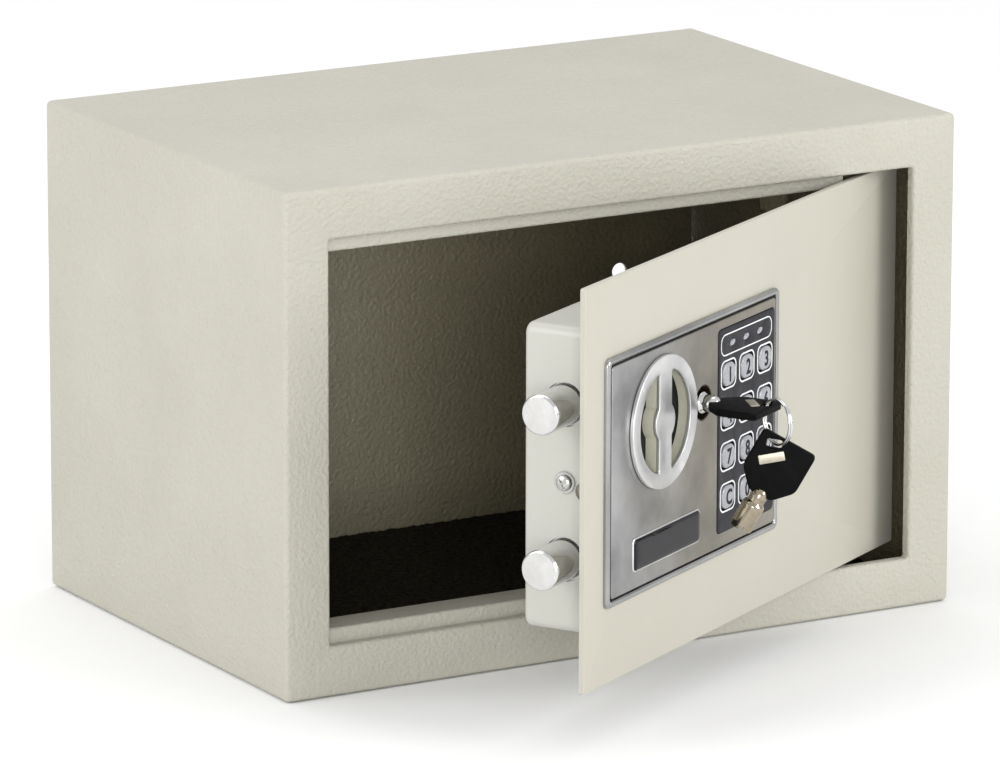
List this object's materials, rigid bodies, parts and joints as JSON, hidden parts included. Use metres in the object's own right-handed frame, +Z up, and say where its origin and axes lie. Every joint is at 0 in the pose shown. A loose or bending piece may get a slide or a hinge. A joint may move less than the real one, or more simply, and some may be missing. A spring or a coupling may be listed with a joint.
{
  "type": "in-room safe",
  "caption": "Steel hotel room safe with a swinging door, keypad module, rotary handle driving two round bolts, and an override lock with tubular keys.",
  "frame": {"origin": "middle of the cabinet underside, on the ground plane", "axes": "+Z up, the cabinet front looks along -Y, +X to the right when facing the front"},
  "size_m": [0.31, 0.3175, 0.205],
  "materials": {
    "cabinet_coat": "cream powder coat with a fine orange-peel texture",
    "door_coat": "smooth cream satin powder coat",
    "felt": "black needle felt",
    "zinc_steel": "zinc plated steel",
    "chrome": "bright chrome",
    "brass": "worn brass with nickel",
    "silver_face": "metallic silver-grey satin",
    "cup_beige": "beige moulding",
    "membrane": "charcoal membrane",
    "button_grey": "grey dome with a white outline",
    "lamp": "unlit indicator lens",
    "black_gloss": "glossy black",
    "board": "green solder mask",
    "cell": "copper and black cell jacket",
    "reset_red": "red"
  },
  "bodies": {
    "cabinet": {"body_shell": "cabinet_coat", "rear_panel": "cabinet_coat", "front_frame": "cabinet_coat", "floor_mat": "felt", "hinge_bracket_top": "cabinet_coat", "hinge_bracket_bottom": "cabinet_coat", "hinge_pin_top": "zinc_steel", "hinge_pin_bottom": "zinc_steel"},
    "door": {"door_plate": "door_coat", "door_case": "door_coat", "hinge_ear_top": "zinc_steel", "hinge_ear_bottom": "zinc_steel", "battery_tray": "black_gloss", "battery_1": "cell", "battery_2": "cell", "battery_3": "cell", "battery_4": "cell", "circuit_board": "board", "solenoid_body": "zinc_steel", "panel_bezel": "chrome", "panel_face": "silver_face", "keypad_membrane": "membrane", "lamp_left": "lamp", "lamp_middle": "lamp", "lamp_right": "lamp", "name_badge": "black_gloss", "lock_body": "chrome", "lock_nut": "zinc_steel", "case_washer": "zinc_steel", "case_screw": "zinc_steel"},
    "handle": {"knob_face": "silver_face", "knob_cup": "cup_beige", "knob_spindle": "zinc_steel", "knob_cam": "zinc_steel"},
    "bolt_work": {"upper_bolt": "chrome", "lower_bolt": "chrome", "bolt_carrier": "zinc_steel"},
    "plunger": {"solenoid_plunger": "chrome"},
    "cover": {"battery_cover": "door_coat"},
    "reset": {"reset_button": "reset_red"},
    "lock_core": {"lock_plug": "brass", "lock_cam": "zinc_steel"},
    "key_1": {"key_1_head": "black_gloss", "key_1_shaft": "chrome"},
    "ring": {"key_ring": "chrome"},
    "key_2": {"key_2_head": "black_gloss", "key_2_shaft": "brass"},
    "button_1_body": {"button_1": "button_grey"},
    "button_2_body": {"button_2": "button_grey"},
    "button_3_body": {"button_3": "button_grey"},
    "button_4_body": {"button_4": "button_grey"},
    "button_5_body": {"button_5": "button_grey"},
    "button_6_body": {"button_6": "button_grey"},
    "button_7_body": {"button_7": "button_grey"},
    "button_8_body": {"button_8": "button_grey"},
    "button_9_body": {"button_9": "button_grey"},
    "button_clear_body": {"button_clear": "button_grey"},
    "button_0_body": {"button_0": "button_grey"},
    "button_enter_body": {"button_enter": "button_grey"}
  },
  "joints": [
    {"name": "door_swing", "type": "hinge", "parent": "cabinet", "child": "door", "pos_m": [0.098, -0.0745, 0.1025], "axis": [0, 0, 1], "range_deg": [-30.75, 66]},
    {"name": "handle_turn", "type": "hinge", "parent": "door", "child": "handle", "pos_m": [-0.03627, -0.1858, 0.1184], "axis": [-0.5113, 0.8594, 0], "range_deg": [0, 90]},
    {"name": "bolt_throw", "type": "slide", "parent": "door", "child": "bolt_work", "axis": [0.8594, 0.5113, 0], "range_m": [0, 0.012]},
    {"name": "plunger_lift", "type": "slide", "parent": "door", "child": "plunger", "axis": [0, 0, 1], "range_m": [0, 0.0025]},
    {"name": "cover_lift_off", "type": "slide", "parent": "door", "child": "cover", "axis": [-0.5113, 0.8594, 0], "range_m": [0, 0.03]},
    {"name": "reset_press", "type": "slide", "parent": "door", "child": "reset", "axis": [0.5113, -0.8594, 0], "range_m": [0, 0.001], "stiffness_N_per_m": 400},
    {"name": "lock_turn", "type": "hinge", "parent": "door", "child": "lock_core", "pos_m": [-0.00679, -0.16826, 0.1184], "axis": [-0.5113, 0.8594, 0], "range_deg": [0, 90]},
    {"name": "key_withdraw", "type": "slide", "parent": "lock_core", "child": "key_1", "axis": [0.5113, -0.8594, 0], "range_m": [0, 0.016]},
    {"name": "ring_swing", "type": "hinge", "parent": "key_1", "child": "ring", "pos_m": [0.01094, -0.18889, 0.1184], "axis": [0.9994, 0.0349, 0], "range_deg": [-20, 12]},
    {"name": "key_2_swing", "type": "hinge", "parent": "ring", "child": "key_2", "pos_m": [0.01123, -0.19699, 0.1055], "axis": [-0.5628, -0.8266, 0], "range_deg": [-20, 20]},
    {"name": "button_1_press", "type": "slide", "parent": "door", "child": "button_1_body", "axis": [-0.5113, 0.8594, 0], "range_m": [0, 0.0006], "stiffness_N_per_m": 300},
    {"name": "button_2_press", "type": "slide", "parent": "door", "child": "button_2_body", "axis": [-0.5113, 0.8594, 0], "range_m": [0, 0.0006], "stiffness_N_per_m": 300},
    {"name": "button_3_press", "type": "slide", "parent": "door", "child": "button_3_body", "axis": [-0.5113, 0.8594, 0], "range_m": [0, 0.0006], "stiffness_N_per_m": 300},
    {"name": "button_4_press", "type": "slide", "parent": "door", "child": "button_4_body", "axis": [-0.5113, 0.8594, 0], "range_m": [0, 0.0006], "stiffness_N_per_m": 300},
    {"name": "button_5_press", "type": "slide", "parent": "door", "child": "button_5_body", "axis": [-0.5113, 0.8594, 0], "range_m": [0, 0.0006], "stiffness_N_per_m": 300},
    {"name": "button_6_press", "type": "slide", "parent": "door", "child": "button_6_body", "axis": [-0.5113, 0.8594, 0], "range_m": [0, 0.0006], "stiffness_N_per_m": 300},
    {"name": "button_7_press", "type": "slide", "parent": "door", "child": "button_7_body", "axis": [-0.5113, 0.8594, 0], "range_m": [0, 0.0006], "stiffness_N_per_m": 300},
    {"name": "button_8_press", "type": "slide", "parent": "door", "child": "button_8_body", "axis": [-0.5113, 0.8594, 0], "range_m": [0, 0.0006], "stiffness_N_per_m": 300},
    {"name": "button_9_press", "type": "slide", "parent": "door", "child": "button_9_body", "axis": [-0.5113, 0.8594, 0], "range_m": [0, 0.0006], "stiffness_N_per_m": 300},
    {"name": "button_clear_press", "type": "slide", "parent": "door", "child": "button_clear_body", "axis": [-0.5113, 0.8594, 0], "range_m": [0, 0.0006], "stiffness_N_per_m": 300},
    {"name": "button_0_press", "type": "slide", "parent": "door", "child": "button_0_body", "axis": [-0.5113, 0.8594, 0], "range_m": [0, 0.0006], "stiffness_N_per_m": 300},
    {"name": "button_enter_press", "type": "slide", "parent": "door", "child": "button_enter_body", "axis": [-0.5113, 0.8594, 0], "range_m": [0, 0.0006], "stiffness_N_per_m": 300}
  ],
  "couplings": [
    {"joint": "handle_turn", "follows": "bolt_throw", "rad_per_m": 130.9}
  ]
}
